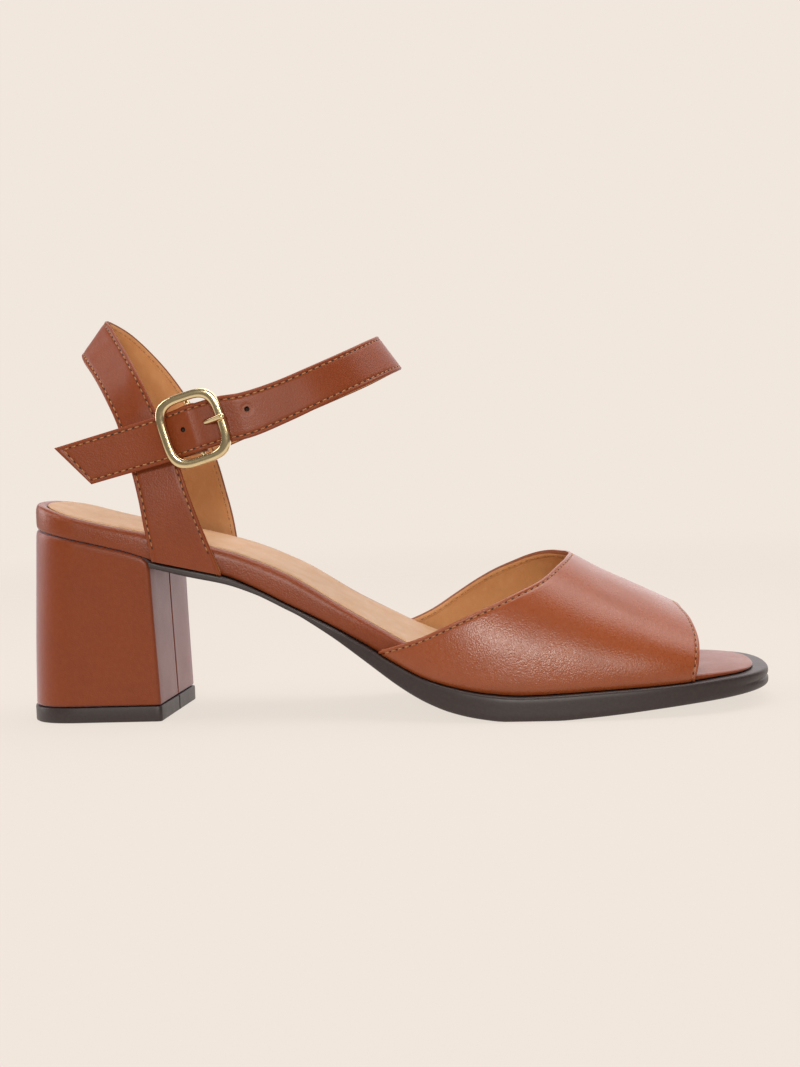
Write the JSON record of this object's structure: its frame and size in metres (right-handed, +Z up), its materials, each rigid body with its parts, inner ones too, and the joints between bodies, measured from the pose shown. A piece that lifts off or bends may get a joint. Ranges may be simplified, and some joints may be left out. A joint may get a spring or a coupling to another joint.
{
  "type": "block heel sandal",
  "caption": "Leather sandal for the right foot with an open toe vamp, a strap behind the heel joined to a buckled ankle strap, a thin outsole and a high covered block heel.",
  "frame": {"origin": "on the floor under the middle of the shoe's length and width", "axes": "+X to the toe, +Y to the medial side, +Z up; the buckle is on the lateral side at -Y"},
  "size_m": [0.24, 0.0826, 0.1306],
  "materials": {
    "brown_leather": "smooth full grain leather with a soft satin sheen",
    "tan_lining": "undyed tan lining leather, matt",
    "dark_rubber": "dark brown smooth sole rubber, satin",
    "pale_gold": "polished pale gold plating"
  },
  "bodies": {
    "root": {"outsole": "dark_rubber", "heel_top_piece": "dark_rubber", "heel_block": "brown_leather", "insole": "brown_leather", "sock_lining": "tan_lining", "vamp": "brown_leather", "heel_and_ankle_strap": "brown_leather", "buckle_loop": "brown_leather", "buckle_frame": "pale_gold", "buckle_prong": "pale_gold"}
  },
  "joints": []
}
